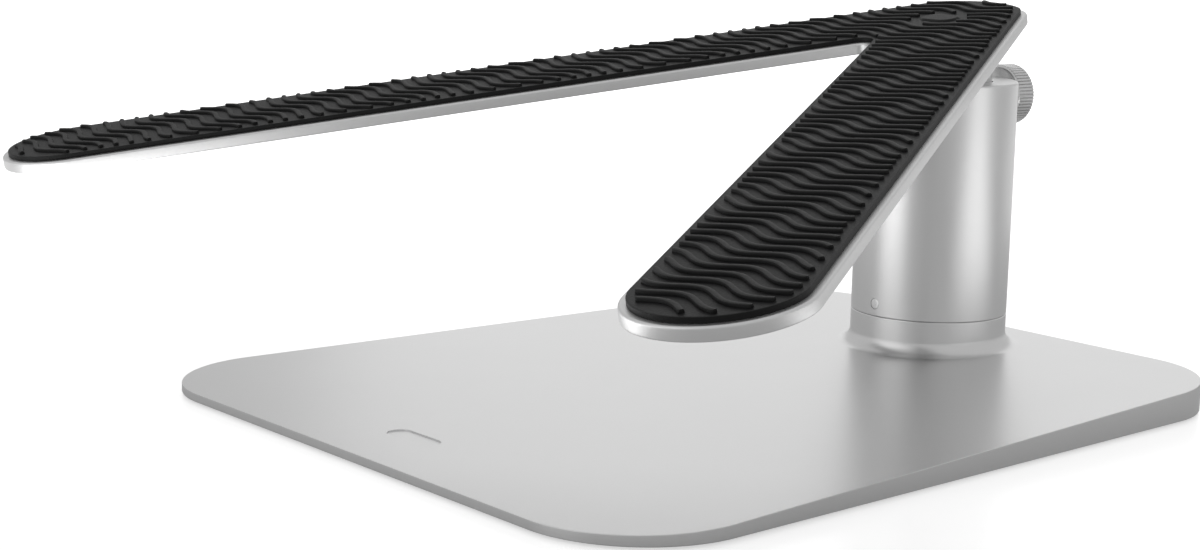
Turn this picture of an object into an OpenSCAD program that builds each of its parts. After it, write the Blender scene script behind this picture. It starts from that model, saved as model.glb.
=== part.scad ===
// Height-adjustable laptop stand: a wedge-shaped base, a round column, a sliding post
// and a tilted V-shaped rest with a ribbed rubber pad.
// Frame: the column's axis is Z, the table is z = 0, and the user sits on the -Y side.

/* [Base] */
// Depth of the base, front edge to back edge
base_depth = 178; // [170:1:190]
// Width of the base along its front edge
base_front_w = 160; // [150:1:170]
// Width of the base along its back edge
base_back_w = 130; // [122:1:140]
// Radius of the base's four corners
base_corner_r = 23; // [15:1:30]
// Thickness of the base at its front edge
base_front_t = 1.8; // [1.6:0.1:2.6]
// Thickness of the base at its back edge
base_back_t = 6.4; // [6:0.1:8]
// Distance from the column's axis to the base's back edge
base_behind = 25; // [24:1:40]
// How far the rubber foot pad holds the base off the table
foot_proud = 0.4; // [0.3:0.1:0.6]

/* [Column] */
// Outside diameter of the column
column_d = 34.2; // [34:0.2:38]
// Height of the seam between the base's boss and the column
seam_z = 13.3; // [12.5:0.1:14]
// Height of the column's top face
column_top = 64.4; // [64:0.2:70]
// Radius of the fillet round the boss
fillet_r = 3; // [2:0.5:5]

/* [Post] */
// Outside diameter of the sliding post
post_d = 22.7; // [22:0.1:22.8]
// Travel of the post from its lowest to its highest setting
travel = 36; // [20:1:36]

/* [V rest] */
// Height of the V plate's upper face on the column's axis, lowest setting
plate_z = 77.2; // [77:0.1:80]
// Slope of the V plate, rising to the back
tilt = 10.8; // [8:0.1:11]
// Angle between each arm and the centre line
arm_angle = 32; // [30:0.5:34]
// Width of each arm
arm_w = 30; // [28:0.5:32]
// Distance from the meeting point of the arms' centre lines to each tip's centre
arm_len = 193.6; // [170:0.1:200]
// Thickness of the V plate
plate_t = 2.4; // [2:0.1:2.5]
// Width of bare metal round the pad
pad_inset = 1.3; // [0.6:0.1:1.5]
// Thickness of the pad under its ridges
pad_base_t = 1; // [0.8:0.1:1.4]
// Height of the pad's ridges
ridge_h = 0.6; // [0.4:0.1:0.8]

/* [Clamp knob] */
// Diameter of the knurled knob
knob_d = 13.5; // [12:0.5:13.5]
// Thickness of the knob
knob_t = 5.5; // [5:0.1:6]
// Number of grooves round the knob
knob_grooves = 56; // [36:1:60]
// Depth of the knob's axis below the column's top face
knob_drop = 4.2; // [4.2:0.1:4.6]

/* [Hidden] */

$fn = 96;
big = 400;              // larger than the stand, for cutting solids
gap = 0.05;             // radial clearance of screws, pins and running fits
proud = 0.01;           // round corners stand this much outside their straight edges, for clean joins
column_r = column_d / 2;
post_r = post_d / 2;

// Base
base_slope = atan((base_back_t - base_front_t) / base_depth);
foot_inset = 4;         // rubber foot pad's distance from the base's outline
foot_recess = 0.6;      // depth of the pocket that holds the foot pad
emblem_y = -138;        // centre of the plain pill-shaped recess near the front edge
emblem_size = [14, 5];
emblem_depth = 0.25;

// Bore, liner and guides
bore_r = 14;            // inside radius of the boss and the column
liner_r = 13;           // inside radius of the liner
floor_z = 4.4;          // top of the base's floor inside the boss
liner_floor = 4;        // thickness of the liner's closed bottom
lip_t = 1;              // lip at the column's top that holds the bush down
bush_len = 12;
bush_top = column_top - lip_t - gap;
bush_z = bush_top - bush_len;
seam_chamfer = 0.15;
top_chamfer = 0.4;
lock_pin_r = 1.15;
lock_pin_z = seam_z + 2.7;

// Post
plug_flange = 0.8;
plug_r = 7;             // bore of the tubular post
post_z = floor_z + liner_floor + 0.2 + plug_flange;
post_top = 69.4;
post_solid = 18;        // solid length at the post's top
ring_z = post_z + 0.8;
ring_h = 5;
ring_seat_r = 10.6;

// Clamp
knob_z = column_top - knob_drop;
key_half_w = 3.1;       // half width of the post's keyway
key_floor = 10.15;      // distance of the keyway's flat floor from the axis
shoe_r = 2.9;
shoe_y = key_floor + 0.15;
shoe_len = 1.9;
socket_len = 1.1;       // depth of the shoe's socket for the stud's neck
neck_r = 1.2;
stud_r = 2;
insert_r = 3;
flange_r = 3.6;
flange_y = column_r - 0.5;
knob_y = column_r + 1.5;
knob_chamfer = 0.4;

// Head
block_r = 12;
m5_r = 2.5;
m5_head = [4.6, 2.6];   // radius and height of a countersunk M5 head
m3_r = 1.5;
m3_head = [2.8, 1.5];
screw_circle_r = 8.8;
screw_len = 5;

// V outline, in the plate's own plane
arms_meet = 6;          // meeting point of the arms' centre lines behind the column's axis
apex_back = 16.3;       // back edge of the apex behind the column's axis
apex_r = 25;            // large arc of the apex
apex_corner_r = 9;      // arcs between the apex and the arms' outer edges
notch_r = 2;            // fillet where the arms' inner edges meet

function base_top(y) = foot_proud + base_front_t
    + (y + base_depth - base_behind) * tan(base_slope);
function unit(v) = v / norm(v);
function wrap(i, n) = (i + n) % n;

// Convex outline with round corners, made of true arcs
module rounded_polygon(points, r) {
    n = len(points);
    corners = [for (i = [0:n - 1])
        let (a = unit(points[wrap(i - 1, n)] - points[i]),
             b = unit(points[wrap(i + 1, n)] - points[i]),
             half = acos(a * b) / 2)
        [points[i] + a * r / tan(half), points[i] + b * r / tan(half),
         points[i] + unit(a + b) * r / sin(half)]];
    polygon([for (c = corners) each [c[0], c[1]]]);
    for (c = corners) translate(c[2]) circle(r + proud);
}

module base_outline(inset = 0) {
    front_y = base_behind - base_depth + inset;
    back_y = base_behind - inset;
    front_x = base_front_w / 2 - inset;
    back_x = base_back_w / 2 - inset;
    rounded_polygon([[-front_x, front_y], [front_x, front_y], [back_x, back_y], [-back_x, back_y]],
        base_corner_r - inset);
}

module pill(size) {
    r = size[1] / 2;
    square([size[0] - size[1], size[1]], center = true);
    for (side = [-1, 1]) translate([side * (size[0] / 2 - r), 0]) circle(r);
}

// Cylinder along +Y on the clamp's axis, from y = start to y = end
module clamp_cylinder(r, start, end) {
    translate([0, start, knob_z]) rotate([-90, 0, 0]) cylinder(r = r, h = end - start);
}

// Countersunk screw with its head's flat face at z = 0 and its shank along -Z
module countersunk(r, head, length) {
    translate([0, 0, -head[1]]) cylinder(r1 = r, r2 = head[0], h = head[1]);
    translate([0, 0, -length]) cylinder(r = r, h = length - head[1] / 2);
}

// Moves children into the V plate's frame: its upper face is z = 0
module on_plate() {
    translate([0, 0, plate_z]) rotate([tilt, 0, 0]) children();
}

// Outline of the V, drawn in by inset on every side
module v_outline(inset = 0) {
    half_w = arm_w / 2 - inset;
    along = [sin(arm_angle), -cos(arm_angle)];
    across = [cos(arm_angle), sin(arm_angle)];
    outer_apex = arms_meet + half_w / sin(arm_angle);
    notch = [0, arms_meet - half_w / sin(arm_angle)];
    tip = [0, arms_meet] + arm_len * along;
    arc_r = apex_r - inset;
    arc_centre = [0, apex_back - apex_r];
    corner_r = apex_corner_r - inset;
    // the corner circle touches the outer edge and the large arc from inside
    start = [0, outer_apex] - corner_r * across;
    w = start - arc_centre;
    b = w * along;
    slide = -b - sqrt(b * b - w * w + (arc_r - corner_r) * (arc_r - corner_r));
    corner = start + slide * along;
    on_edge = corner + corner_r * across;
    on_arc = arc_centre + arc_r * unit(corner - arc_centre);
    fillet = notch_r + inset;
    fillet_end = notch + fillet / tan(arm_angle) * along;
    fillet_centre = notch - [0, fillet / sin(arm_angle)];
    right = [tip - half_w * across, tip + half_w * across, on_edge, on_arc];
    left = [for (i = [3:-1:0]) [-right[i][0], right[i][1]]];
    difference() {
        polygon(concat([[-fillet_end[0], fillet_end[1]], fillet_end], right, left));
        translate(fillet_centre) circle(fillet + proud);
    }
    for (side = [0, 1]) mirror([side, 0]) {
        translate(tip) circle(half_w + proud);
        translate(corner) circle(corner_r + proud);
    }
    arc_half_x = on_arc[0] - 0.2;
    intersection() {
        translate(arc_centre) circle(arc_r);
        translate([-arc_half_x, on_arc[1] - 1]) square([2 * arc_half_x, arc_r]);
    }
}

// Wedge-shaped base with the boss that carries the column
module base_plate() {
    color("silver") difference() {
        union() {
            intersection() {
                linear_extrude(big) base_outline();
                translate([-big / 2, 0, 0]) rotate([90, 0, 90]) linear_extrude(big)
                    polygon([for (p = [[-base_depth, 0], [0, 0], [0, base_back_t],
                        [-base_depth, base_front_t]]) p + [base_behind, foot_proud]]);
            }
            rotate_extrude() polygon([[0, foot_proud], [column_r, foot_proud],
                [column_r, seam_z - seam_chamfer], [column_r - seam_chamfer, seam_z], [0, seam_z]]);
            translate([0, 0, base_top(0)]) rotate([base_slope, 0, 0]) rotate_extrude()
                difference() {
                    translate([bore_r + 1, -1]) square([column_r - bore_r - 1.3 + fillet_r, fillet_r]);
                    translate([column_r + fillet_r - 0.3, fillet_r]) circle(fillet_r);
                }
        }
        translate([0, 0, floor_z]) cylinder(r = bore_r, h = big);
        linear_extrude(foot_proud + foot_recess) base_outline(foot_inset);
        translate([0, 0, foot_proud + foot_recess]) mirror([0, 0, 1])
            countersunk(m5_r + gap, m5_head + [gap, gap], 10);
        translate([0, 9, 2]) cylinder(r = 1.5 + gap, h = 4);
        translate([0, emblem_y, base_top(emblem_y) - emblem_depth]) rotate([base_slope, 0, 0])
            linear_extrude(2) pill(emblem_size);
    }
}

// Rubber sheet in the pocket under the base
module foot_pad() {
    color("#202022") linear_extrude(foot_proud + foot_recess) base_outline(foot_inset + 0.1);
}

// Screw from below that holds the liner in the boss
module base_bolt() {
    color("dimgray") translate([0, 0, foot_proud + foot_recess + gap]) mirror([0, 0, 1])
        countersunk(m5_r, m5_head, 6.8);
}

// Pin that stops the liner turning on its screw
module base_dowel() {
    color("dimgray") translate([0, 9, 2.1]) cylinder(r = 1.5, h = 5.5);
}

// Steel cup that joins boss and column and guides the post's lower end
module liner_cup() {
    color("gray") difference() {
        translate([0, 0, floor_z]) cylinder(r = bore_r - 0.02, h = bush_z - floor_z);
        translate([0, 0, floor_z + liner_floor]) cylinder(r = liner_r, h = big);
        translate([0, 0, floor_z - 1]) cylinder(r = m5_r + gap, h = 10);
        translate([0, 9, floor_z - 1]) cylinder(r = 1.5 + gap, h = 4.4);
        translate([0, 0, lock_pin_z]) rotate([90, 0, 0]) cylinder(r = lock_pin_r + gap, h = 20);
    }
}

// Outer tube of the lift, with a lip over the bush and a hole for the clamp
module column() {
    color("silver") difference() {
        rotate_extrude() polygon([[bore_r, seam_z], [column_r - seam_chamfer, seam_z],
            [column_r, seam_z + seam_chamfer], [column_r, column_top - top_chamfer],
            [column_r - top_chamfer, column_top], [post_r + 0.25, column_top],
            [post_r + 0.25, column_top - lip_t], [bore_r, column_top - lip_t]]);
        translate([0, 0, lock_pin_z]) rotate([90, 0, 0]) cylinder(r = lock_pin_r + gap, h = 20);
        clamp_cylinder(insert_r + 0.02, bore_r - 2, column_r + 1);
        clamp_cylinder(flange_r + gap, flange_y, column_r + 1);
    }
}

// Flush pin that locks the column to the liner
module lock_pin() {
    color("gainsboro") intersection() {
        translate([0, -liner_r - gap, lock_pin_z]) rotate([90, 0, 0])
            cylinder(r = lock_pin_r, h = column_r - liner_r);
        cylinder(r = column_r, h = column_top);
    }
}

// Plastic guide bush, notched for the clamp
module upper_bush() {
    color("ivory") difference() {
        translate([0, 0, bush_z]) cylinder(r = bore_r - 0.02, h = bush_len);
        cylinder(r = post_r + gap, h = big);
        clamp_cylinder(key_half_w, 5, bore_r + 1);
        translate([-key_half_w, 5, knob_z]) cube([2 * key_half_w, bore_r, 10]);
    }
}

// Threaded brass insert in the column's wall
module thread_insert() {
    color("goldenrod") difference() {
        union() {
            clamp_cylinder(insert_r, bore_r + 0.1, flange_y + 0.5);
            clamp_cylinder(flange_r, flange_y, flange_y + 1);
        }
        clamp_cylinder(stud_r + gap, bore_r - 1, column_r + 2);
    }
}

// Swivel tip that presses on the post and rides in its keyway
module clamp_shoe() {
    color("goldenrod") difference() {
        clamp_cylinder(shoe_r, shoe_y, shoe_y + shoe_len);
        clamp_cylinder(neck_r + gap, shoe_y + shoe_len - socket_len, shoe_y + shoe_len + 1);
    }
}

// Steel stud of the thumb screw
module clamp_stud() {
    shoulder = shoe_y + shoe_len + gap;
    color("dimgray") {
        clamp_cylinder(neck_r, shoe_y + shoe_len - socket_len + gap, shoulder + 0.2);
        clamp_cylinder(stud_r, shoulder, knob_y + knob_t - 1.1);
    }
}

// Grooved aluminium knob on the stud
module knob() {
    knob_r = knob_d / 2;
    color("silver") difference() {
        translate([0, knob_y, knob_z]) rotate([-90, 0, 0]) rotate_extrude()
            polygon([[stud_r + 0.02, 0], [knob_r - knob_chamfer, 0], [knob_r, knob_chamfer],
                [knob_r, knob_t - knob_chamfer], [knob_r - knob_chamfer, knob_t],
                [0, knob_t], [0, knob_t - 1], [stud_r + 0.02, knob_t - 1]]);
        for (i = [0:knob_grooves - 1]) translate([0, 0, knob_z])
            rotate([0, i * 360 / knob_grooves, 0])
                translate([knob_r + 0.1, knob_y + 2 * knob_chamfer, 0]) rotate([-90, 0, 0])
                    cylinder(r = 0.25, h = knob_t, $fn = 16);
    }
}

// Sliding post: a tube with a solid top, a seat for the ring and a keyway
module post() {
    color("gray") difference() {
        translate([0, 0, post_z]) cylinder(r = post_r, h = post_top - post_z);
        translate([0, 0, post_z - 1]) cylinder(r = plug_r, h = post_top - post_solid - post_z + 1);
        translate([0, 0, ring_z]) difference() {
            cylinder(r = post_r + 1, h = ring_h);
            translate([0, 0, -1]) cylinder(r = ring_seat_r, h = ring_h + 2);
        }
        clamp_cylinder(key_half_w, key_floor, post_r + 1);
        translate([0, 0, -travel]) clamp_cylinder(key_half_w, key_floor, post_r + 1);
        translate([-key_half_w, key_floor, knob_z - travel]) cube([2 * key_half_w, 5, travel]);
        translate([0, 0, post_top - 14]) cylinder(r = m5_r + gap, h = 20);
        translate([0, -8, post_top - 4]) cylinder(r = 1.5 + gap, h = 20);
    }
}

// Split guide ring near the post's lower end
module slide_ring() {
    color("ivory") translate([0, 0, ring_z + gap]) difference() {
        cylinder(r = liner_r - gap, h = ring_h - 2 * gap);
        translate([0, 0, -1]) cylinder(r = ring_seat_r + gap, h = ring_h + 2);
        translate([-0.5, -bore_r, -1]) cube([1, bore_r, ring_h + 2]);
    }
}

// Plastic plug that closes the post and lands softly on the liner's floor
module post_plug() {
    color("#303032") {
        translate([0, 0, post_z - plug_flange]) cylinder(r = ring_seat_r - 0.6, h = plug_flange);
        translate([0, 0, post_z - 0.1]) cylinder(r = plug_r - gap, h = 7);
    }
}

// Wedge block that gives the V plate its slope
module head_block() {
    head_top = post_top + 3.9;
    color("silver") difference() {
        translate([0, 0, post_top]) cylinder(r = block_r, h = 20);
        on_plate() translate([-big / 2, -big / 2, -plate_t]) cube(big);
        translate([0, 0, head_top]) countersunk(m5_r + gap, m5_head + [gap, 0], 10);
        translate([0, 0, head_top - gap]) cylinder(r = m5_head[0] + gap, h = 20);
        translate([0, -8, post_top - 1]) cylinder(r = 1.5 + gap, h = 2.6);
        on_plate() for (a = [45:90:315]) rotate(a)
            translate([screw_circle_r, 0, -screw_len - 0.1]) cylinder(r = m3_r + gap, h = screw_len);
    }
}

// Pin that stops the head block turning on the post
module head_dowel() {
    color("dimgray") translate([0, -8, post_top - 3.9]) cylinder(r = 1.5, h = 5.4);
}

// Screw that holds the head block on the post
module head_bolt() {
    color("dimgray") translate([0, 0, post_top + 3.9 - gap]) countersunk(m5_r, m5_head, 14);
}

// V-shaped metal rest
module v_plate() {
    color("silver") on_plate() difference() {
        translate([0, 0, -plate_t]) linear_extrude(plate_t) v_outline();
        for (a = [45:90:315]) rotate(a) translate([screw_circle_r, 0, 0]) {
            countersunk(m3_r + gap, m3_head + [gap, gap], 5);
            translate([0, 0, -gap]) cylinder(r = m3_head[0] + gap, h = 1);
        }
    }
}

// Four countersunk screws under the pad
module plate_screws() {
    color("dimgray") on_plate() for (a = [45:90:315]) rotate(a)
        translate([screw_circle_r, 0, -gap]) countersunk(m3_r, m3_head, screw_len - gap);
}

// Rubber pad, drawn solid up to the tops of its ridges
module v_pad() {
    color("#2b2b2d") on_plate() linear_extrude(pad_base_t + ridge_h) v_outline(pad_inset);
}

base_plate();
foot_pad();
base_bolt();
base_dowel();
liner_cup();
column();
lock_pin();
upper_bush();
thread_insert();
clamp_shoe();
clamp_stud();
knob();
post();
slide_ring();
post_plug();
head_block();
head_dowel();
head_bolt();
v_plate();
plate_screws();
v_pad();
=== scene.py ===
"""Looks of the height-adjustable laptop stand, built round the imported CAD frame.

Lengths are in millimetres, except for the lights, which are in metres like Blender's scene.
"""

import math

import bmesh
import bpy
import numpy as np
from mathutils import Matrix, Vector
from mathutils.geometry import delaunay_2d_cdt


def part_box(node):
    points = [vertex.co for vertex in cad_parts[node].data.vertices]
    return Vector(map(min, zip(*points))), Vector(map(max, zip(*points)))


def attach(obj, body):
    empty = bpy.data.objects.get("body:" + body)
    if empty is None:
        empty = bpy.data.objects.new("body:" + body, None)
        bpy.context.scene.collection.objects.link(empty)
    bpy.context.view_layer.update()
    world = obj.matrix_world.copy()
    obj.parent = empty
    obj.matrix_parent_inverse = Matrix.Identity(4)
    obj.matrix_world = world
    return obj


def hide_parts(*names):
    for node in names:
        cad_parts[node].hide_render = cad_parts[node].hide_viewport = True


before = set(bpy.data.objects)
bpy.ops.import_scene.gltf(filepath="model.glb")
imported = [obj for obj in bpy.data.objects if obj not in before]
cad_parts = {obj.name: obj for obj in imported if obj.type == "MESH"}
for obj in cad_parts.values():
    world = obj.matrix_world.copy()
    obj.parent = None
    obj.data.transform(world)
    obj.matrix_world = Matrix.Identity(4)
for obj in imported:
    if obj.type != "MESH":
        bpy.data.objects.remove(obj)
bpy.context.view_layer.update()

MM = 0.001
SHARP_ANGLE = math.radians(35)

# Base
BASE_DEPTH = 178
BASE_FRONT_W = 160
BASE_BACK_W = 130
BASE_CORNER_R = 23
BASE_FRONT_T = 1.8
BASE_BACK_T = 6.4
FOOT_PROUD = 0.4
FOOT_INSET = 4
FOOT_RECESS = 0.6
FILLET_R = 3
BORE_R = 14
BORE_FLOOR_Z = 4.4
EMBLEM_Y = -138
EMBLEM_SIZE = (14, 5)
EMBLEM_DEPTH = 0.25
SEAM_SLIT = 0.06
PIN_GAP = 0.03
INSERT_GAP = 0.05

# V rest, in the plate's own plane, whose z is 0 at the plate's upper face
TILT = math.radians(10.8)
PLATE_Z = 77.2
PLATE_T = 2.4
ARM_ANGLE = math.radians(32)
ARM_W = 30
ARM_LEN = 193.6
ARMS_MEET = 6
APEX_BACK = 16.3
APEX_R = 25
APEX_CORNER_R = 9
NOTCH_R = 2
PAD_INSET = 1.3
PAD_BASE_T = 1

# Ridges of the pad
RIDGE_H = 0.6
RIDGE_SINK = 0.05
RIDGE_W = 1.1
RIDGE_PITCH = 3.44
RIDGE_WAVE = 17.6
RIDGE_SWING = 1.28
RIDGE_PHASE = math.radians(172)
RIDGE_LEAN = -0.032
RIDGE_START = -0.4
RIDGE_MARGIN = 1.5
RIDGE_STEP = 0.6
PATCH_CENTRE = (2, -2.8)
PATCH_SIZE = (13.5, 11)
PATCH_PILL = (9, 5.5)

# Knob
KNOB_GROOVES = 56
GROOVE_DEPTH = 0.26


def box_mm(node):
    """Lowest and highest corner of a CAD node, in millimetres."""
    low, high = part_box(node)
    return low / MM, high / MM


column_low, column_high = box_mm("column")
knob_low, knob_high = box_mm("knob")
pin_low, pin_high = box_mm("lock_pin")
COLUMN_R = column_high.x
COLUMN_TOP = column_high.z
SEAM_Z = column_low.z
POST_R = box_mm("post")[1].x
BASE_BACK_Y = box_mm("base_plate")[1].y
BASE_SLOPE = math.atan((BASE_BACK_T - BASE_FRONT_T) / BASE_DEPTH)


# ---------------------------------------------------------------- meshes


def piece(name, points, faces, material, body, replaced):
    """A smooth mesh piece from points in millimetres, riding on a CAD body in place of CAD nodes."""
    mesh = bpy.data.meshes.new(name)
    mesh.from_pydata(np.asarray(points, float) * MM, [], faces)
    bm = bmesh.new()
    bm.from_mesh(mesh)
    bmesh.ops.remove_doubles(bm, verts=bm.verts, dist=1e-7)
    bmesh.ops.recalc_face_normals(bm, faces=bm.faces)
    bm.to_mesh(mesh)
    bm.free()
    obj = bpy.data.objects.new(name, mesh)
    bpy.context.scene.collection.objects.link(obj)
    mesh.materials.append(material)
    shade(obj)
    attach(obj, body)
    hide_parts(replaced)
    return obj


def shade(obj):
    """Smooth shading with crisp corners and flat faces that stay flat."""
    obj.data.shade_smooth()
    obj.data.set_sharp_from_angle(angle=SHARP_ANGLE)
    weighted = obj.modifiers.new("weighted", "WEIGHTED_NORMAL")
    weighted.keep_sharp = True


def strip(rings, closed=False):
    """Points and faces of a skin through rings that all have the same number of points."""
    n = len(rings[0])
    count = len(rings)
    points = np.concatenate(rings)
    faces = []
    for k in range(count if closed else count - 1):
        a, b = k * n, (k + 1) % count * n
        faces += [(a + i, a + (i + 1) % n, b + (i + 1) % n, b + i) for i in range(n)]
    return points, faces


def capped(rings):
    """A strip closed by a face over its first and its last ring."""
    points, faces = strip(rings)
    n, total = len(rings[0]), len(points)
    return points, faces + [tuple(range(n))[::-1], tuple(range(total - n, total))]


def joined(*parts):
    """Several (points, faces) as one."""
    points, faces, start = [], [], 0
    for p, f in parts:
        points.append(np.asarray(p, float))
        faces += [tuple(i + start for i in face) for face in f]
        start += len(p)
    return np.concatenate(points), faces


def lathe(profile, steps=160):
    """Rings about the Z axis, one for each (radius, z)."""
    turn = np.linspace(0, 2 * math.pi, steps, endpoint=False)
    return [np.stack([r * np.cos(turn), r * np.sin(turn), np.full(steps, z)], 1) for r, z in profile]


def arcs(*pieces_of_arc):
    """An outline of arcs (centre, radius, start, end, steps), joined by straight lines."""
    points = []
    for centre, r, start, end, steps in pieces_of_arc:
        turn = np.linspace(start, end, steps + 1)
        points.append(np.array(centre) + r * np.stack([np.cos(turn), np.sin(turn)], 1))
    return np.concatenate(points)


def with_z(outline, z):
    return np.column_stack([outline, np.broadcast_to(z, len(outline))])


def pill(size, grow=0.0, steps=16):
    """Outline of a slot with round ends."""
    r = size[1] / 2
    reach = size[0] / 2 - r
    half = math.pi / 2
    return arcs(
        ((reach, 0), r + grow, -half, half, steps),
        ((-reach, 0), r + grow, half, 3 * half, steps),
    )


def inside(points, outline):
    """Which of the points lie inside a closed outline."""
    x, y = points[:, 0, None], points[:, 1, None]
    x0, y0 = outline.T
    x1, y1 = np.roll(outline, -1, axis=0).T
    spans = (y0 > y) != (y1 > y)
    with np.errstate(divide="ignore", invalid="ignore"):
        crossing = x0 + (y - y0) / (y1 - y0) * (x1 - x0)
    return (spans & (x < crossing)).sum(1) % 2 == 1


def cut(obj, tool):
    """Takes the tool's shape out of obj for good."""
    boolean = obj.modifiers.new("cut", "BOOLEAN")
    boolean.object = tool
    boolean.operation = "DIFFERENCE"
    boolean.solver = "EXACT"
    obj.modifiers.remove(obj.modifiers["weighted"])
    bpy.context.view_layer.update()
    graph = bpy.context.evaluated_depsgraph_get()
    obj.data = bpy.data.meshes.new_from_object(obj.evaluated_get(graph))
    obj.modifiers.clear()
    bpy.data.objects.remove(tool)
    shade(obj)


def peg(radius, centre, length, steps=64):
    """A plain cylinder along Y, used only to cut with."""
    upright = lathe([(radius, 0), (radius, length)], steps)
    rings = [ring[:, [0, 2, 1]] + np.array(centre) for ring in upright]
    points, faces = capped(rings)
    mesh = bpy.data.meshes.new("peg")
    mesh.from_pydata(points * MM, [], faces)
    bm = bmesh.new()
    bm.from_mesh(mesh)
    bmesh.ops.recalc_face_normals(bm, faces=bm.faces)
    bm.to_mesh(mesh)
    bm.free()
    obj = bpy.data.objects.new("peg", mesh)
    bpy.context.scene.collection.objects.link(obj)
    return obj


# ---------------------------------------------------------------- materials


def node_material(name):
    """A new material with its node tree, its Principled shader and a texture coordinate node."""
    material = bpy.data.materials.new(name)
    material.use_nodes = True
    tree = material.node_tree
    tree.nodes.clear()
    output = tree.nodes.new("ShaderNodeOutputMaterial")
    shader = tree.nodes.new("ShaderNodeBsdfPrincipled")
    tree.links.new(shader.outputs[0], output.inputs[0])
    return material, tree, shader, tree.nodes.new("ShaderNodeTexCoord")


def noise(tree, coordinates, size_mm, detail=2.0, stretch=(1, 1, 1)):
    """Noise whose features are about size_mm across."""
    mapping = tree.nodes.new("ShaderNodeMapping")
    mapping.inputs["Scale"].default_value = stretch
    tree.links.new(coordinates.outputs["Object"], mapping.inputs["Vector"])
    texture = tree.nodes.new("ShaderNodeTexNoise")
    texture.inputs["Scale"].default_value = 1 / (size_mm * MM)
    texture.inputs["Detail"].default_value = detail
    tree.links.new(mapping.outputs[0], texture.inputs["Vector"])
    return texture


def spread(tree, source, low, high):
    """Maps a noise's middle range to low..high."""
    ranged = tree.nodes.new("ShaderNodeMapRange")
    ranged.inputs["From Min"].default_value = 0.3
    ranged.inputs["From Max"].default_value = 0.7
    ranged.inputs["To Min"].default_value = low
    ranged.inputs["To Max"].default_value = high
    tree.links.new(source.outputs[0], ranged.inputs["Value"])
    return ranged


def tint(tree, source, dark, light):
    """A colour between dark and light, by a factor."""
    ramp = tree.nodes.new("ShaderNodeValToRGB")
    ramp.color_ramp.elements[0].position = 0.3
    ramp.color_ramp.elements[1].position = 0.7
    ramp.color_ramp.elements[0].color = (*dark, 1)
    ramp.color_ramp.elements[1].color = (*light, 1)
    tree.links.new(source.outputs[0], ramp.inputs[0])
    return ramp


def bump(tree, shader, source, height_mm, strength=1.0):
    relief = tree.nodes.new("ShaderNodeBump")
    relief.inputs["Strength"].default_value = strength
    relief.inputs["Distance"].default_value = height_mm * MM
    tree.links.new(source.outputs[0], relief.inputs["Height"])
    tree.links.new(relief.outputs[0], shader.inputs["Normal"])


CLOUD_MM = 25
ROUGHNESS_SPREAD = 0.03


def surface(
    name, grey, roughness, metallic, grain_mm, relief_mm,
    drift=0.04, warmth=0, stretch=(1, 1, 1), gloss=0.5,
):
    """A surface with a fine grain in its relief and roughness, and a slow drift of tone."""
    material, tree, shader, coordinates = node_material(name)
    cloud = noise(tree, coordinates, CLOUD_MM, 3)
    grain = noise(tree, coordinates, grain_mm, 3, stretch)
    light = [grey * (1 + warmth), grey, grey * (1 - warmth)]
    tone = tint(tree, cloud, [c * (1 - drift) for c in light], [min(c * (1 + drift), 1) for c in light])
    tree.links.new(tone.outputs[0], shader.inputs["Base Color"])
    rough = spread(tree, grain, roughness - ROUGHNESS_SPREAD, roughness + ROUGHNESS_SPREAD)
    tree.links.new(rough.outputs[0], shader.inputs["Roughness"])
    shader.inputs["Metallic"].default_value = metallic
    shader.inputs["Specular IOR Level"].default_value = gloss
    bump(tree, shader, grain, relief_mm)
    return material


blasted = surface("blasted_metal", 0.70, 0.33, 1, 0.3, 0.004, drift=0.006)
column_metal = surface("column_metal", 0.70, 0.34, 1, 0.3, 0.004, drift=0.01)
plate_metal = surface("plate_metal", 0.70, 0.42, 1, 0.3, 0.008, drift=0.01)
knob_metal = surface("knob_metal", 0.66, 0.24, 1, 0.2, 0.003)
post_metal = surface("turned_metal", 0.55, 0.32, 1, 0.15, 0.004, stretch=(0.05, 0.05, 1))
pin_metal = surface("pin_metal", 0.80, 0.30, 1, 0.15, 0.004, stretch=(1, 1, 0.1))
fastener_metal = surface("zinc_plated", 0.45, 0.35, 1, 0.2, 0.003, warmth=0.02)
brass = surface("brass", 0.55, 0.30, 1, 0.2, 0.003, warmth=0.35)
guide_plastic = surface("acetal", 0.62, 0.45, 0, 0.4, 0.003, warmth=0.04)
black_plastic = surface("black_plastic", 0.03, 0.5, 0, 0.3, 0.01)
pad_rubber = surface("pad_rubber", 0.006, 0.52, 0, 0.35, 0.03, drift=0.1, gloss=0.2)
foot_rubber = surface("foot_rubber", 0.03, 0.8, 0, 0.5, 0.05, drift=0.1)


# ---------------------------------------------------------------- V rest


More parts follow.
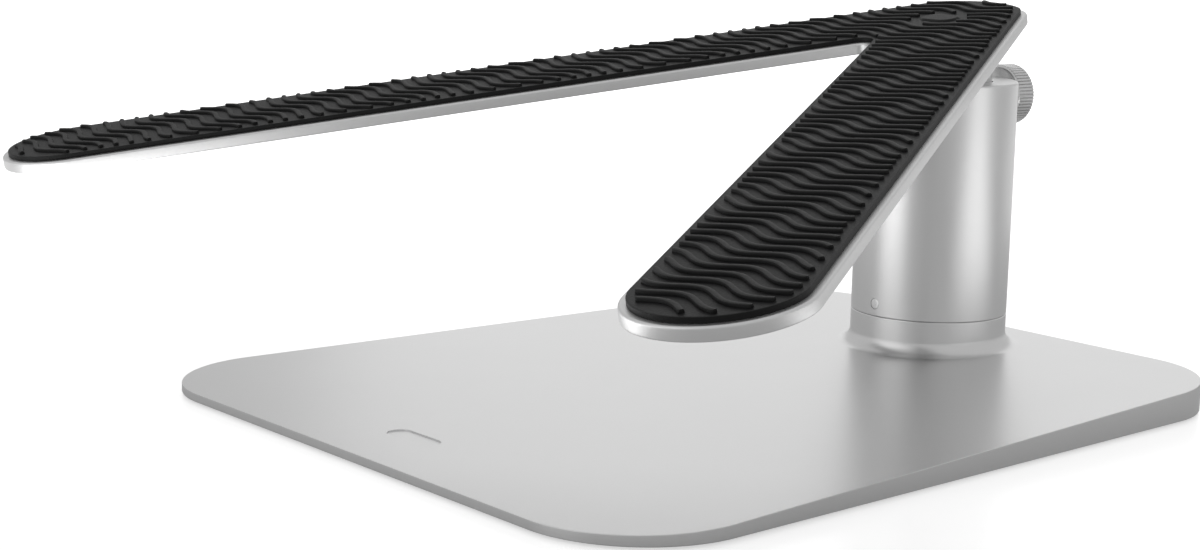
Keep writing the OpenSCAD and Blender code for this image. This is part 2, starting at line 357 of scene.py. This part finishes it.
def v_outline(inset):
    """Outline of the V in the plate's plane, drawn in by inset, with as many points for every inset."""
    a = ARM_ANGLE
    half_w = ARM_W / 2 - inset
    along = np.array([math.sin(a), -math.cos(a)])
    across = np.array([math.cos(a), math.sin(a)])
    tip = np.array([0, ARMS_MEET]) + ARM_LEN * along
    arc_r = APEX_R - inset
    corner_r = APEX_CORNER_R - inset
    arc_centre = np.array([0, APEX_BACK - APEX_R])
    # the corner arc touches the arm's outer edge and the apex arc from inside
    start = np.array([0, ARMS_MEET + half_w / math.sin(a)]) - corner_r * across
    w = start - arc_centre
    b = w @ along
    corner = start + (-b - math.sqrt(b * b - w @ w + (arc_r - corner_r) ** 2)) * along
    meet = math.atan2(*(corner - arc_centre)[::-1])
    fillet = NOTCH_R + inset
    fillet_centre = (0, ARMS_MEET - (half_w + fillet) / math.sin(a))
    flip = np.array([-1, 1])
    pi = math.pi
    return arcs(
        (fillet_centre, fillet, pi - a, a, 10),
        (tip, half_w, a + pi, a + 2 * pi, 48),
        (corner, corner_r, a, meet, 12),
        (arc_centre, arc_r, meet, pi - meet, 24),
        (corner * flip, corner_r, pi - meet, pi - a, 12),
        (tip * flip, half_w, pi - a, 2 * pi - a, 48),
    )


def on_plate(points):
    """From the plate's own frame to the stand's."""
    x, y, z = np.asarray(points, float).T
    c, s = math.cos(TILT), math.sin(TILT)
    return np.stack([x, y * c - z * s, PLATE_Z + y * s + z * c], 1)


def v_skin(profile):
    """Rings of the V outline at each (inset, z)."""
    return [with_z(v_outline(inset), z) for inset, z in profile]


def make_plate():
    profile = [
        (0.35, -PLATE_T), (0.12, 0.1 - PLATE_T), (0, 0.35 - PLATE_T),
        (0, -0.48), (0.04, -0.27), (0.13, -0.11), (0.27, -0.03), (0.45, 0), (PAD_INSET + 0.8, 0),
    ]
    points, faces = capped(v_skin(profile))
    piece("v_plate_rounded", on_plate(points), faces, plate_metal, "carriage", "v_plate")


def ridge_line(x, row):
    """Height across the pad of one wavy ridge, at each x."""
    wave = RIDGE_SWING * np.sin(2 * math.pi * x / RIDGE_WAVE + RIDGE_PHASE)
    return RIDGE_START + row * RIDGE_PITCH + RIDGE_LEAN * x + wave


def runs(keep):
    """(first, last) of each unbroken run of true values."""
    edges = np.flatnonzero(np.diff(np.concatenate([[0], keep.astype(int), [0]])))
    return [(a, b - 1) for a, b in edges.reshape(-1, 2)]


def ridge(x, y):
    """A round-topped ridge with rounded ends along the line (x, y)."""
    line = np.stack([x, y], 1)
    tangent = np.gradient(line, axis=0)
    tangent /= np.linalg.norm(tangent, axis=1)[:, None]
    half = RIDGE_W / 2
    # the ends run out over half the ridge's width, as a half round
    turn = np.radians([0, 30, 60])
    run_out = half * np.cos(turn)
    swell = np.sin(turn + math.radians(12))
    head = line[0] - run_out[:, None] * tangent[0]
    tail = (line[-1] + run_out[:, None] * tangent[-1])[::-1]
    line = np.concatenate([head, line, tail])
    tangent = np.concatenate([[tangent[0]] * 3, tangent, [tangent[-1]] * 3])
    width = np.concatenate([swell, np.ones(len(x)), swell[::-1]])
    normal = np.stack([-tangent[:, 1], tangent[:, 0]], 1)
    # (share of the half width, share of the height) from the crown down to one foot
    flank = [(0.4, 1), (0.8, 0.9), (0.98, 0.6), (1, 0)]
    section = [(-side, up) for side, up in reversed(flank)] + flank
    low = PAD_BASE_T - RIDGE_SINK
    high = RIDGE_H + RIDGE_SINK
    rings = []
    for p, m, w in zip(line, normal, width):
        rings.append(np.array([(*(p + side * half * w * m), low + high * up) for side, up in section]))
    return capped(rings)


def make_pad():
    edge = [
        (PAD_INSET, 0.02), (PAD_INSET, PAD_BASE_T - 0.14), (PAD_INSET + 0.04, PAD_BASE_T - 0.04),
        (PAD_INSET + 0.14, PAD_BASE_T), (PAD_INSET + 0.5, PAD_BASE_T),
    ]
    parts = [capped(v_skin(edge))]
    limit = v_outline(PAD_INSET + RIDGE_MARGIN)
    patch = pill(PATCH_SIZE) + np.array(PATCH_CENTRE)
    low, high = limit.min(0), limit.max(0)
    x = np.arange(low[0], high[0], RIDGE_STEP)
    first = math.floor((low[1] - RIDGE_START) / RIDGE_PITCH) - 2
    rows = range(first, math.ceil((high[1] - RIDGE_START) / RIDGE_PITCH) + 3)
    for row in rows:
        y = ridge_line(x, row)
        line = np.stack([x, y], 1)
        keep = inside(line, limit) & ~inside(line, patch)
        parts += [ridge(x[a:b + 1], y[a:b + 1]) for a, b in runs(keep) if b - a > 2]
    # (growth of the pill's outline, height over the pad) of the plain raised badge
    badge = [(0.3, -0.02), (0.05, 0.25), (-0.15, 0.4), (-0.4, 0.45)]
    pills = [(pill(PATCH_PILL, grow) + np.array(PATCH_CENTRE), PAD_BASE_T + rise) for grow, rise in badge]
    parts.append(capped([with_z(outline, z) for outline, z in pills]))
    points, faces = joined(*parts)
    piece("v_pad_ribbed", on_plate(points), faces, pad_rubber, "carriage", "v_pad")


# ---------------------------------------------------------------- base


def base_outline(inset):
    """Rounded trapezoid, drawn in by inset."""
    front, back = BASE_FRONT_W / 2, BASE_BACK_W / 2
    front_y, back_y = BASE_BACK_Y - BASE_DEPTH, BASE_BACK_Y
    corners = np.array([(front, front_y), (back, back_y), (-back, back_y), (-front, front_y)])
    lean = math.atan2(front - back, BASE_DEPTH)
    headings = [-math.pi / 2, lean, math.pi / 2, math.pi - lean, 3 * math.pi / 2]
    pieces_of_arc = []
    for corner, before, after in zip(corners, headings, headings[1:]):
        half = (after - before) / 2
        middle = (after + before) / 2
        centre = corner - BASE_CORNER_R / math.cos(half) * np.array([math.cos(middle), math.sin(middle)])
        pieces_of_arc.append((centre, BASE_CORNER_R - inset, before, after, 24))
    return arcs(*pieces_of_arc)


def base_top(y):
    """Height of the base's sloping top."""
    return FOOT_PROUD + BASE_BACK_T + (y - BASE_BACK_Y) * math.tan(BASE_SLOPE)


def base_fillet(steps=160, arc_steps=10):
    """Rings of the rolling-ball fillet between the sloping top and the upright boss, from the top up."""
    turn = np.linspace(0, 2 * math.pi, steps, endpoint=False)
    out = np.stack([np.cos(turn), np.sin(turn), np.zeros(steps)], 1)
    up = np.array([0, -math.sin(BASE_SLOPE), math.cos(BASE_SLOPE)])
    centre = (COLUMN_R + FILLET_R) * out
    centre[:, 2] = base_top(centre[:, 1]) + FILLET_R / math.cos(BASE_SLOPE)
    angle = np.arccos(out @ up)[:, None]
    rings = []
    for share in np.linspace(0, 1, arc_steps + 1):
        direction = (np.sin((1 - share) * angle) * up + np.sin(share * angle) * out) / np.sin(angle)
        rings.append(centre - FILLET_R * direction)
    return rings


def flat_with_holes(outer, holes, lift):
    """A flat face inside outer and outside the holes, raised by lift(y)."""
    points = np.concatenate([outer, *holes])
    edges, start = [], 0
    for outline in [outer, *holes]:
        n = len(outline)
        edges += [(start + i, start + (i + 1) % n) for i in range(n)]
        start += n
    found = delaunay_2d_cdt([Vector(p) for p in points], edges, [], 0, 1e-6)
    flat, triangles = np.array(found[0]), found[2]
    middles = np.array([flat[list(t)].mean(0) for t in triangles])
    keep = inside(middles, outer)
    for hole in holes:
        keep &= ~inside(middles, hole)
    return with_z(flat, lift(flat[:, 1])), [t for t, k in zip(triangles, keep) if k]


def make_base():
    top_edge = 0.14
    low = FOOT_PROUD
    pocket = FOOT_PROUD + FOOT_RECESS
    rings = [with_z(base_outline(FOOT_INSET), pocket), with_z(base_outline(FOOT_INSET), low)]
    for inset, rise in ((0.25, 0), (0.08, 0.06), (0, 0.22)):
        rings.append(with_z(base_outline(inset), low + rise))
    for inset, drop in ((0, top_edge), (0.04, 0.04), (top_edge, 0)):
        outline = base_outline(inset)
        rings.append(with_z(outline, base_top(outline[:, 1]) - drop))
    skin, skin_faces = strip(rings)
    skin_faces.append(tuple(range(len(rings[0])))[::-1])

    fillet = base_fillet()
    boss = lathe([
        (COLUMN_R, SEAM_Z - 0.24), (COLUMN_R - 0.05, SEAM_Z - 0.1), (COLUMN_R - 0.16, SEAM_Z),
        (BORE_R, SEAM_Z), (BORE_R, BORE_FLOOR_Z),
    ])
    column_foot, foot_faces = strip(fillet + boss)
    total, n = len(column_foot), len(fillet[0])
    foot_faces.append(tuple(range(total - n, total)))

    emblem = np.array([0, EMBLEM_Y])
    # (growth of the pill's outline, depth under the top) of the plain recess
    wall = [(0.06, 0), (0, 0.05), (-0.02, EMBLEM_DEPTH - 0.04), (-0.1, EMBLEM_DEPTH), (-0.6, EMBLEM_DEPTH)]
    recess = []
    for grow, drop in wall:
        outline = pill(EMBLEM_SIZE, grow) + emblem
        recess.append(with_z(outline, base_top(outline[:, 1]) - drop))
    hollow, hollow_faces = strip(recess)
    last = len(recess[0])
    hollow_faces.append(tuple(range(len(hollow) - last, len(hollow)))[::-1])

    holes = [fillet[0][:, :2], recess[0][:, :2]]
    face = flat_with_holes(rings[-1][:, :2], holes, base_top)
    points, faces = joined((skin, skin_faces), (column_foot, foot_faces), (hollow, hollow_faces), face)
    piece("base_rounded", points, faces, blasted, "stand", "base_plate")


# ---------------------------------------------------------------- column, pin and knob


def make_column():
    slit = SEAM_Z + SEAM_SLIT
    mouth = POST_R + 0.25
    rings = lathe([
        (BORE_R, slit), (COLUMN_R - 0.16, slit), (COLUMN_R - 0.05, slit + 0.08), (COLUMN_R, slit + 0.22),
        (COLUMN_R, COLUMN_TOP - 0.5), (COLUMN_R - 0.06, COLUMN_TOP - 0.25),
        (COLUMN_R - 0.22, COLUMN_TOP - 0.07),
        (COLUMN_R - 0.45, COLUMN_TOP), (mouth + 0.2, COLUMN_TOP), (mouth, COLUMN_TOP - 0.2),
        (mouth, COLUMN_TOP - 1), (BORE_R, COLUMN_TOP - 1),
    ], 192)
    points, faces = strip(rings, closed=True)
    column = piece("column_tube", points, faces, column_metal, "stand", "column")
    pin_middle = (pin_low + pin_high) / 2
    pin_r = (pin_high.x - pin_low.x) / 2
    cut(column, peg(pin_r + PIN_GAP, (0, -COLUMN_R - 2, pin_middle.z), 6))
    insert_r = box_mm("thread_insert")[1].x
    cut(column, peg(insert_r + INSERT_GAP, (0, BORE_R - 3, (knob_low.z + knob_high.z) / 2), 8))


def make_lock_pin():
    """A flush pin whose face follows the column's round."""
    middle_z = (pin_low.z + pin_high.z) / 2
    pin_r = (pin_high.x - pin_low.x) / 2
    turn = np.linspace(0, 2 * math.pi, 48, endpoint=False)
    # (radius, depth behind the column's surface) from the middle of the face to the pin's inner end
    profile = [(0.3, 0), (0.7, 0), (pin_r - 0.16, 0), (pin_r - 0.05, 0.04), (pin_r, 0.14), (pin_r, 3.5)]
    rings = []
    for r, back in profile:
        x, z = r * np.cos(turn), r * np.sin(turn)
        rings.append(np.stack([x, back - np.sqrt(COLUMN_R**2 - x**2), middle_z + z], 1))
    points, faces = capped(rings)
    piece("lock_pin_flush", points, faces, pin_metal, "stand", "lock_pin")


def make_knob():
    """Knob with narrow straight grooves between flat ribs, and a shallow dish in its outer face."""
    r = (knob_high.x - knob_low.x) / 2
    deep = knob_high.y - knob_low.y
    middle_z = (knob_low.z + knob_high.z) / 2
    groove = np.tile([0, 0, 0, 0, 0.1, 1, 1, 0.1], KNOB_GROOVES)
    turn = np.linspace(0, 2 * math.pi, len(groove), endpoint=False)
    # (radius, distance from the inner face, share of the grooves' depth)
    profile = [
        (2.1, 0, 0), (r - 0.8, 0, 0), (r - 0.66, 0.06, 0), (r - 0.22, 0.5, 0), (r - 0.18, 0.62, 0),
        (r, 0.8, 1), (r, deep - 0.42, 1), (r - 0.08, deep - 0.25, 1), (r - 0.26, deep - 0.08, 0.4),
        (r - 0.5, deep, 0), (r - 2.2, deep, 0), (r - 2.5, deep - 0.16, 0), (0.5, deep - 0.2, 0),
    ]
    rings = []
    for radius, y, share in profile:
        reach = radius - share * GROOVE_DEPTH * groove
        x, z = reach * np.cos(turn), reach * np.sin(turn)
        rings.append(np.stack([x, np.full(len(turn), knob_low.y + y), middle_z + z], 1))
    points, faces = capped(rings)
    piece("knob_grooved", points, faces, knob_metal, "clamp_screw", "knob")


def finish_cad_nodes():
    """Procedural materials and smooth shading for the CAD nodes that stay in view."""
    looks = {
        "foot_pad": foot_rubber, "base_bolt": fastener_metal, "base_dowel": fastener_metal,
        "liner_cup": post_metal, "upper_bush": guide_plastic, "thread_insert": brass,
        "clamp_shoe": brass, "clamp_stud": fastener_metal, "post": post_metal, "slide_ring": guide_plastic,
        "post_plug": black_plastic, "head_block": column_metal, "head_dowel": fastener_metal,
        "head_bolt": fastener_metal, "plate_screws": fastener_metal,
    }
    for name, material in looks.items():
        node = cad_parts[name]
        node.data.materials.clear()
        node.data.materials.append(material)
        node.data.shade_smooth()
        node.data.set_sharp_from_angle(angle=SHARP_ANGLE)


# ---------------------------------------------------------------- camera, light and floor

CAMERA_AT = (343.6, -373.9, 105.9)
CAMERA_AZIMUTH = math.radians(50.865)
CAMERA_ELEVATION = math.radians(9.808)
CAMERA_ROLL = math.radians(1.402)
CAMERA_LENS = 68.9
FLOOR_LIFT = 0.59
FLOOR_Z = -0.00005
FLOOR_REACH = 6.0
BACKDROP_NEAR = 0.25
BACKDROP_FAR = 0.6
ROOM_STRENGTH = 0.64
LIGHT_AIM = (0, -0.06, 0.05)


def make_camera():
    a, e = CAMERA_AZIMUTH, CAMERA_ELEVATION
    back = Vector((math.sin(a) * math.cos(e), -math.cos(a) * math.cos(e), math.sin(e)))
    right = Vector((0, 0, 1)).cross(back).normalized()
    up = back.cross(right)
    c, s = math.cos(CAMERA_ROLL), math.sin(CAMERA_ROLL)
    data = bpy.data.cameras.new("camera")
    data.lens = CAMERA_LENS
    data.clip_start = 0.01
    camera = bpy.data.objects.new("camera", data)
    turned = Matrix((c * right + s * up, c * up - s * right, back)).transposed()
    camera.matrix_world = Matrix.Translation(Vector(CAMERA_AT) * MM) @ turned.to_4x4()
    bpy.context.scene.collection.objects.link(camera)
    bpy.context.scene.camera = camera


def soft_light(name, azimuth, elevation, distance, size, power):
    """A soft light aimed at the stand. Azimuth 0 is on the user's side and 90 on the right."""
    data = bpy.data.lights.new(name, "AREA")
    data.shape = "RECTANGLE"
    data.size, data.size_y = size
    data.energy = power
    light = bpy.data.objects.new(name, data)
    a, e = math.radians(azimuth), math.radians(elevation)
    out = Vector((math.sin(a) * math.cos(e), -math.cos(a) * math.cos(e), math.sin(e)))
    light.location = Vector(LIGHT_AIM) + out * distance
    light.rotation_mode = "QUATERNION"
    light.rotation_quaternion = out.to_track_quat("Z", "Y")
    light.visible_camera = False
    bpy.context.scene.collection.objects.link(light)


def table_light(name, azimuth, near, far, width, radiance):
    """A flat light that lies on the table from near to far and shines up, so upright faces pick it up."""
    data = bpy.data.lights.new(name, "AREA")
    data.shape = "RECTANGLE"
    data.size, data.size_y = width, far - near
    data.energy = radiance * math.pi * width * (far - near)
    light = bpy.data.objects.new(name, data)
    a = math.radians(azimuth)
    middle = (near + far) / 2
    light.location = (math.sin(a) * middle, -math.cos(a) * middle, 0.002)
    light.rotation_euler = (math.pi, 0, a)
    light.visible_camera = False
    bpy.context.scene.collection.objects.link(light)


def make_world():
    """White backdrop for the camera, and an even grey room for everything else."""
    world = bpy.data.worlds.new("studio")
    world.use_nodes = True
    tree = world.node_tree
    tree.nodes.clear()
    output = tree.nodes.new("ShaderNodeOutputWorld")
    mix = tree.nodes.new("ShaderNodeMixShader")
    path = tree.nodes.new("ShaderNodeLightPath")
    room = tree.nodes.new("ShaderNodeBackground")
    room.inputs[0].default_value = (1, 1, 1, 1)
    room.inputs[1].default_value = ROOM_STRENGTH
    seen = tree.nodes.new("ShaderNodeBackground")
    seen.inputs[0].default_value = (1, 1, 1, 1)
    seen.inputs[1].default_value = 1.0
    tree.links.new(path.outputs["Is Camera Ray"], mix.inputs[0])
    tree.links.new(room.outputs[0], mix.inputs[1])
    tree.links.new(seen.outputs[0], mix.inputs[2])
    tree.links.new(mix.outputs[0], output.inputs[0])
    bpy.context.scene.world = world


def make_floor():
    """Pale floor with a faint sheen, which fades into the white backdrop away from the stand."""
    mesh = bpy.data.meshes.new("floor")
    corners = [(x * FLOOR_REACH, y * FLOOR_REACH, FLOOR_Z) for x, y in ((-1, -1), (1, -1), (1, 1), (-1, 1))]
    mesh.from_pydata(corners, [], [(0, 1, 2, 3)])
    floor = bpy.data.objects.new("floor", mesh)
    bpy.context.scene.collection.objects.link(floor)
    material, tree, shader, coordinates = node_material("floor_paint")
    tone = tint(tree, noise(tree, coordinates, 900, 2), (0.6,) * 3, (0.62,) * 3)
    tree.links.new(tone.outputs[0], shader.inputs["Base Color"])
    shader.inputs["Roughness"].default_value = 0.25
    shader.inputs["Emission Color"].default_value = (1, 1, 1, 1)
    path = tree.nodes.new("ShaderNodeLightPath")
    # the backdrop's white takes over away from the stand
    far = tree.nodes.new("ShaderNodeVectorMath")
    far.operation = "LENGTH"
    tree.links.new(coordinates.outputs["Object"], far.inputs[0])
    fade = tree.nodes.new("ShaderNodeMapRange")
    fade.inputs["From Min"].default_value = BACKDROP_NEAR
    fade.inputs["From Max"].default_value = BACKDROP_FAR
    fade.inputs["To Min"].default_value = FLOOR_LIFT
    fade.inputs["To Max"].default_value = 1.0
    tree.links.new(far.outputs["Value"], fade.inputs["Value"])
    lift = tree.nodes.new("ShaderNodeMath")
    lift.operation = "MULTIPLY"
    tree.links.new(path.outputs["Is Camera Ray"], lift.inputs[0])
    tree.links.new(fade.outputs[0], lift.inputs[1])
    tree.links.new(lift.outputs[0], shader.inputs["Emission Strength"])
    mesh.materials.append(material)


def make_studio():
    make_camera()
    make_world()
    make_floor()
    soft_light("key_front", -14, 24, 1.2, (0.9, 0.9), 1.0)
    soft_light("back_glow", 222, 14, 1.6, (1.1, 0.8), 1.1)
    table_light("glow_front", -14, 0.17, 0.45, 0.16, 1.9)
    table_light("glow_front_far", -14, 0.45, 1.2, 0.28, 1.1)
    table_light("glow_right", 105, 0.12, 0.45, 0.18, 1.3)
    table_light("glow_right_far", 105, 0.45, 1.2, 0.26, 0.75)
    table_light("glow_left", -85, 0.25, 1.2, 0.5, 0.3)
    table_light("glow_corner", -45, 0.2, 1.0, 0.3, 0.25)
    table_light("glow_back", 195, 0.2, 1.2, 0.5, 0.4)
    bpy.context.scene.view_settings.view_transform = "Standard"


make_plate()
make_pad()
make_base()
make_column()
make_lock_pin()
make_knob()
finish_cad_nodes()
make_studio()
